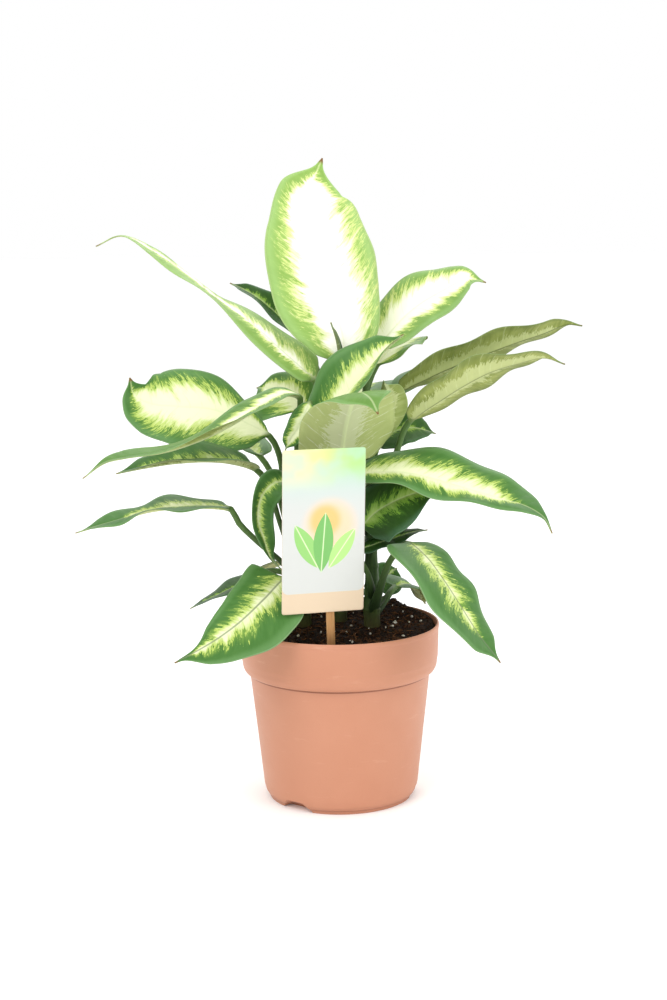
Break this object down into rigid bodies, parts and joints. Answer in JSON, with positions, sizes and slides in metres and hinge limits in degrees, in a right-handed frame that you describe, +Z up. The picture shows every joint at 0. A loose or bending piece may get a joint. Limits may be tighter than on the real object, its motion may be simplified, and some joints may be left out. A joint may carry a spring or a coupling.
{
  "type": "potted dieffenbachia",
  "caption": "Leafy dieffenbachia with cream-centred green leaves on sheathed stalks, growing from canes in a round nursery pot, with a plant tag on a stake.",
  "frame": {"origin": "centre of the pot's flat foot, on the surface that the pot stands on", "axes": "+Z up through the pot's rim, -Y towards the side that the tag faces, +X to the right as seen from that side"},
  "size_m": [0.3033, 0.2352, 0.3883],
  "materials": {
    "pot": "satin moulded plastic, terracotta colour",
    "potting_mix": "loose, fibrous and matt",
    "cane": "smooth green stem",
    "leaf": "waxy leaf, green with a cream centre",
    "crown_leaf": "waxy young leaf, nearly all cream",
    "tag_card": "printed card",
    "tag_stake": "plain wood"
  },
  "bodies": {
    "root": {"pot": "pot", "potting_mix": "potting_mix", "cane_middle": "cane", "cane_right": "cane", "cane_left": "cane", "cane_back": "cane", "tag_card": "tag_card", "tag_stake": "tag_stake", "leaf_arching_right": "leaf", "leaf_back_drooping": "leaf", "leaf_back_left_low": "leaf", "leaf_back_left_mid": "leaf", "leaf_back_middle": "leaf", "leaf_back_narrow": "leaf", "leaf_back_right_high": "leaf", "leaf_back_right_low": "leaf", "leaf_back_right_mid": "leaf", "leaf_back_tall": "leaf", "leaf_behind_left": "leaf", "leaf_crown_upright": "crown_leaf", "leaf_front_curled": "leaf", "leaf_front_left": "leaf", "leaf_front_right": "leaf", "leaf_left_broad": "leaf", "leaf_left_dark": "leaf", "leaf_left_drooping": "leaf", "leaf_left_high": "leaf", "leaf_left_inner": "leaf", "leaf_left_low": "leaf", "leaf_low_back": "leaf", "leaf_low_left": "leaf", "leaf_low_right": "leaf", "leaf_over_left": "leaf", "leaf_right_broad": "leaf", "leaf_right_cream": "leaf", "leaf_right_dark": "leaf", "leaf_right_high": "leaf", "leaf_right_low": "leaf", "leaf_right_rolled": "leaf", "leaf_right_shaded": "leaf", "leaf_right_under": "leaf", "leaf_spear": "leaf"}
  },
  "joints": []
}
